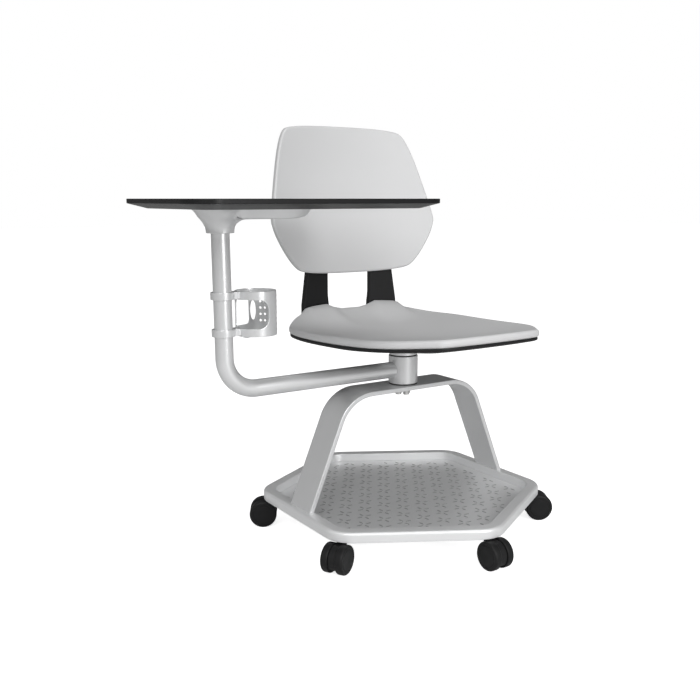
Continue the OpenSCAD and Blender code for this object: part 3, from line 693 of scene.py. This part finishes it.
def board_ring(inset, height):
    """The board's rounded outline, moved in by inset, at one height."""
    radius = corner_r - inset * (corner_r - low_corner_r) / slope_run
    low, high = (board_x[0] + inset, board_y[0] + inset), (board_x[1] - inset, board_y[1] - inset)
    return [(x, y, height) for x, y in rounded_rectangle(low, high, radius, 10)]


edge_break = 1.2
board_rings = [board_ring(edge_break - x, board_top - edge_break + z)
               for x, z in arc((0, 0), edge_break, 90, 0, 4)]
board_rings += [board_ring(0, board_top - edge_h + 0.6), board_ring(0.5, board_top - edge_h - 0.1)]
board_rings += [board_ring(slope_run, board_bottom)]
laminate = finish("laminate", (0.010, 0.010, 0.0105), (0.008, 0.008, 0.0085), (0.30, 0.40),
                  grain=1600, depth=0.00002, gloss=0.22)
piece("board", *loft(board_rings), laminate, "black_laminate", "tablet", ["tablet_board"])

# ---------------------------------------------------------------- seat pad
# One injection-moulded grey polypropylene shell, dished for the sitter, its edge rolled
# all round and its back edge drawn up into two tabs that stand against the uprights.


def steered_outline(half, steps=10):
    """A closed smooth outline from the corner points of one half, mirrored across x = 0."""
    corners = [Vector(p) for p in half] + [Vector((-x, y)) for x, y in reversed(half)]
    outline = []
    for k, corner in enumerate(corners):
        before = (corners[k - 1] + corner) / 2
        after = (corner + corners[(k + 1) % len(corners)]) / 2
        for step in range(steps):
            t = step / steps
            outline.append(before * (1 - t) ** 2 + corner * 2 * t * (1 - t) + after * t * t)
    return outline


def moved_in(outline, inset):
    """The outline moved in along its own normals."""
    count = len(outline)
    ring = []
    for k, p in enumerate(outline):
        along = (outline[(k + 1) % count] - outline[k - 1]).normalized()
        ring.append(p - Vector((along.y, -along.x)) * inset)
    return ring


seat_half = [(113, -297), (140, -266), (203, -189), (219, -73), (228, 104), (186, 170), (128, 218)]
seat_outline = steered_outline(seat_half)
pad_t, pad_dish, pad_rest_z = 16, 12, 439.5
tab_inner, tab_outer, tab_back = 57, 126, 206
tab_top, tab_fall = 478.5, 0.045
upright_at, toe_slope = Vector((91.5, 211.5)), 0.158


def tab_rise(p):
    """How much the pad stands up in front of an upright, fanning out wider to the front."""
    ahead = min(max((tab_back - p.y) / 130, 0), 1)
    inner = ease(abs(p.x), 40 - 40 * ahead, tab_inner + 25 * ahead)
    outer = 1 - ease(abs(p.x), tab_outer - 30 * ahead, tab_outer + 12 + 70 * ahead)
    return inner * outer * (1 - ahead) ** 2.2


def pad_edge_z(p):
    """Middle height of the pad's rolled edge, which lifts a little to the front and the back."""
    lift = 17 * (min(p.y - 70, 0) / 350) ** 2 + 20 * (max(p.y - 110, 0) / 105) ** 2.2
    return pad_rest_z + lift


def pad_surface(p, share):
    """The pad's upper face above a point that lies at a share of the way out."""
    plain = pad_edge_z(p) + pad_t / 2 - pad_dish * (1 - share ** 2.4)
    tab = tab_top - tab_fall * (abs(p.x) - 56)
    return plain + (tab - plain) * tab_rise(p)


def before_uprights(p, gap):
    """Keeps a point of the back edge in front of the uprights' slanted front faces."""
    front = upright_at.y - toe_slope * (abs(p.x) - upright_at.x) - gap
    return Vector((p.x, min(p.y, front))) if 50 < abs(p.x) < 134 else p.copy()


edge_r = pad_t / 2
seat_inside = [before_uprights(p, 3) for p in moved_in(seat_outline, edge_r)]
seat_edge = [before_uprights(p, 0.4) for p in seat_outline]
shares = [0.04, 0.12, 0.22, 0.34, 0.46, 0.58, 0.69, 0.78, 0.84, 0.88, 0.92, 0.95, 0.98, 1.0]
top_rings = [[(p.x * s, p.y * s, pad_surface(p * s, s)) for p in seat_inside] for s in shares]
edge_rings = []
for k in range(1, 12):
    turn = radians(90 - 15 * k)
    reach, rise = abs(cos(turn)) ** 0.8, abs(sin(turn)) ** 0.8 * (1 if turn > 0 else -1)
    edge_rings.append([(a.x + (b.x - a.x) * reach, a.y + (b.y - a.y) * reach,
                        pad_surface(a, 1) - edge_r + edge_r * rise)
                       for a, b in zip(seat_inside, seat_edge)])
under_rings = [[(x, y, z - pad_t) for x, y, z in ring] for ring in reversed(top_rings)]
grey_shell = finish("grey_shell", (0.610, 0.612, 0.616), (0.585, 0.587, 0.591), (0.42, 0.52),
                    grain=1500, depth=0.00004)
piece("seat_shell", *loft(top_rings + edge_rings + under_rings), grey_shell, "grey_shell", "seat",
      ["seat_pad"], crease=50)

# ---------------------------------------------------------------- seat pan and plate
# A black nylon pan closes the shell from below. Its rim shows as a thin dark line under
# the shell, and its underside swells down to the steel plate on the hub.

pan_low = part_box("seat_pan")[0].z / mm
pan_outline = [before_uprights(p * 0.99, 0.4) for p in seat_outline]


def pan_under(p, s):
    """The pan's underside: flat in the middle, rising sooner and more evenly to the front."""
    rim = pad_edge_z(p * s) - pad_t / 2 - 6.5
    ahead = ease(-p.y, 60, 200)
    flat = 0.6 - 0.25 * ahead
    return pan_low + (rim - pan_low) * (max(s - flat, 0) / (1 - flat)) ** (1.6 - 0.5 * ahead)


pan_shares = [0.05, 0.3, 0.55, 0.75, 0.88, 0.95, 0.985]
pan_top = [[(p.x * s, p.y * s, pad_surface(p * s, s) - pad_t - 0.4) for p in pan_outline]
           for s in pan_shares]
pan_rim = [[(p.x * s, p.y * s, pan_under(p, 1) + lift + 10 * tab_rise(p)) for p in pan_outline]
           for s, lift in ((0.997, 6.3), (1.0, 5.0), (1.0, 1.4), (0.996, 0.3))]
pan_shares_under = [0.985, 0.96, 0.92, 0.86, 0.79, 0.71, 0.64, 0.56, 0.4, 0.2, 0.05]
pan_bottom = [[(p.x * s, p.y * s, pan_under(p, s)) for p in pan_outline] for s in pan_shares_under]
moulded_black = finish("moulded_black", (0.013, 0.013, 0.0135), (0.009, 0.009, 0.0095), (0.40, 0.50),
                       grain=1200, depth=0.00004, gloss=0.25)
piece("pan", *loft(pan_top + pan_rim + pan_bottom), moulded_black, "black_plastic", "seat", ["seat_pan"],
      crease=50)
black_coat = finish("black_coat", (0.010, 0.010, 0.0105), (0.007, 0.007, 0.0075), (0.44, 0.54),
                    grain=1100, depth=0.00004, gloss=0.25)
dress(["seat_plate"], black_coat)

# ---------------------------------------------------------------- uprights
# Two black bars, each bent from flat steel: a foot screwed under the pan, a tight heel, a
# tapering blade behind the pad's tab, and a lean that follows the back shell.

blade_t, foot_t, heel_r = 14, 10, 13
foot_end, foot_z = -138, pan_low - foot_t / 2
lean_from, lean, blade_top = 573, 0.17, 700
toe = radians(9)


def blade_span(z):
    """Inner and outer edge of the bar at a height, away from its own middle line."""
    outer = 36.5 - 11 * min(max((z - 478) / 72, 0), 1) - 3.5 * min(max((z - 550) / 23, 0), 1)
    return -34.5 - 3 * (1 - ease(z, 470, 500)), outer


def bar_ring(y, z, tilt, thickness):
    """The bar's section, where tilt is the centre line's angle above level."""
    inner, outer = blade_span(z)
    ring = []
    for across, through in rounded_box_ring((outer - inner) / 2, thickness / 2, 2.2):
        x = (inner + outer) / 2 + across
        ring.append((x, y - through * sin(tilt), z + through * cos(tilt)))
    return ring


blade_y, heel_steps = 7, 9
bar_rings = [bar_ring(foot_end, foot_z, 0, foot_t), bar_ring(-20, foot_z, 0, foot_t)]
for k in range(1, heel_steps + 1):
    turn = radians(90 * k / heel_steps)
    y, z = blade_y - heel_r + heel_r * sin(turn), foot_z + heel_r - heel_r * cos(turn)
    bar_rings.append(bar_ring(y, z, turn, foot_t + (blade_t - foot_t) * k / heel_steps))
for z in (452, 470, 478, 486, 500, 525, 550, 568):
    bar_rings.append(bar_ring(blade_y, z, pi / 2, blade_t))
for z in (lean_from, 578, 600, 650, 692, blade_top):
    lean_tilt = lean if z > lean_from else 0.08
    bar_rings.append(bar_ring(blade_y + lean * (z - lean_from), z, pi / 2 - lean_tilt, blade_t))
bar_points, bar_faces = loft(bar_rings)
for side, name in ((1, "left_upright"), (-1, "right_upright")):
    placed = []
    for x, y, z in bar_points:
        px = upright_at.x + x * cos(toe) + y * sin(toe)
        py = upright_at.y - x * sin(toe) + y * cos(toe)
        placed.append((side * px, py, z))
    piece(name.replace("upright", "back_bar"), placed, bar_faces, black_coat, "black_steel", "seat",
          [name])

# ---------------------------------------------------------------- back shell
# A second grey polypropylene moulding, wrapped round the sitter and leaning back. Its
# front meets the side wall in a soft edge, and the screws reach it from behind.

back_half = [(132, 548), (172, 574), (221, 653), (215, 696), (172, 855), (134, 878)]
back_outline = steered_outline(back_half)
back_mid = Vector((0, 706))
back_t, back_edge, wrap_r = 16, 5, 540
back_inside = moved_in(back_outline, back_edge)
if (back_inside[0] - back_mid).length > (back_outline[0] - back_mid).length:
    back_inside = moved_in(back_outline, -back_edge)


def back_front(p):
    """Distance of the shell's front face behind the column."""
    return 199 + lean * (p.y - 548) - p.x * p.x / (2 * wrap_r)


def back_ring(flat, depth):
    """Points of the shell's outline plane laid on the wrapped front face, moved back by depth."""
    return [(p.x, back_front(p) + depth, p.y) for p in flat]


back_shares = [0.03, 0.12, 0.25, 0.4, 0.55, 0.7, 0.83, 0.92, 0.97, 1.0]
front_rings = [back_ring([back_mid + (p - back_mid) * s for p in back_inside], 0) for s in back_shares]
wall_rings = []
for k in range(1, 7):
    turn = radians(15 * k)
    flat = [a + (b - a) * sin(turn) for a, b in zip(back_inside, back_outline)]
    wall_rings.append(back_ring(flat, back_edge * (1 - cos(turn))))
wall_rings += [[(x, y + back_t - 2 * depth, z) for x, y, z in ring]
               for ring, depth in zip(reversed(wall_rings), [back_edge * (1 - cos(radians(15 * k)))
                                                             for k in range(6, 0, -1)])]
rear_rings = [[(x, y + back_t, z) for x, y, z in ring] for ring in reversed(front_rings)]
piece("back_rest", *loft(front_rings + wall_rings + rear_rings), grey_shell, "grey_shell", "seat",
      ["back_shell"], crease=50)

# ---------------------------------------------------------------- castors
# Six twin-wheel castors in black nylon: a neck and a narrow web between the wheels, a
# stem up into the rim, and two wheels with a rounded tread and a pressed-in side disc.

stem_r, trail, wheel_r, wheel_w, pair_w = 292, 20, 30, 16, 48
wheel_black = finish("wheel_black", (0.011, 0.011, 0.0115), (0.008, 0.008, 0.0085), (0.42, 0.52),
                     grain=1300, depth=0.00004, gloss=0.25)
inner_face = pair_w / 2 - wheel_w
wheel_section = (
    [(3.4, inner_face)]
    + arc((wheel_r - 2.5, inner_face + 2.5), 2.5, -90, 0, 4)
    + arc((wheel_r - 4.5, pair_w / 2 - 4.5), 4.5, 0, 90, 6)
    + [(23.2, pair_w / 2), (22.6, pair_w / 2 - 0.7), (21.8, pair_w / 2 - 0.7), (21.2, pair_w / 2 - 0.1),
       (14, pair_w / 2 - 0.1), (8, pair_w / 2 - 0.5), (0.5, pair_w / 2 - 0.6)]
)
neck_top = rim_low - 1.9
neck_profile = [(5.2, neck_top - 2.4), (10.4, neck_top - 2.4), (11.5, neck_top - 1.6),
                (11.5, neck_top - 0.5), (11, neck_top), (5.2, neck_top)]
hood_r = 27
web_outline = (
    arc((trail, wheel_r), hood_r, -39, 100, 24)
    + [(11, neck_top - 2), (-8, neck_top - 2), (-7.2, 42)]
    + arc((trail, wheel_r), hood_r, 168, 219, 8)
)


def on_corner(points, corner):
    """Places points made along +X from the castor's stem at one corner of the tray."""
    turn = radians(corner)
    return [((stem_r + x) * cos(turn) - y * sin(turn), (stem_r + x) * sin(turn) + y * cos(turn), z)
            for x, y, z in points]


for letter, corner in zip("abcdef", corner_angles):
    web_flat, house_faces = sheet_from([web_outline], pair_w - 2 * wheel_w - 1, 1.2)
    house_points = [(x, z, y) for x, y, z in web_flat]
    add_part(house_points, house_faces, lathe(neck_profile, 0, 0, 40, "join"))
    piece(f"castor_{letter}_body", on_corner(house_points, corner), house_faces, moulded_black,
          "black_plastic", f"castor_{letter}", [f"castor_{letter}_housing"])
    wheel_points, wheel_faces = [], []
    for side in (1, -1):
        turned, faces = lathe(wheel_section, 0, 0, 56)
        upright = [(trail + x, side * z, wheel_r + y) for x, y, z in turned]
        add_part(wheel_points, wheel_faces, (upright, faces))
    piece(f"castor_{letter}_wheel_pair", on_corner(wheel_points, corner), wheel_faces, wheel_black,
          "wheel_black", f"wheels_{letter}", [f"castor_{letter}_wheels"])
    dress([f"castor_{letter}_stem", f"castor_{letter}_axle"], zinc)
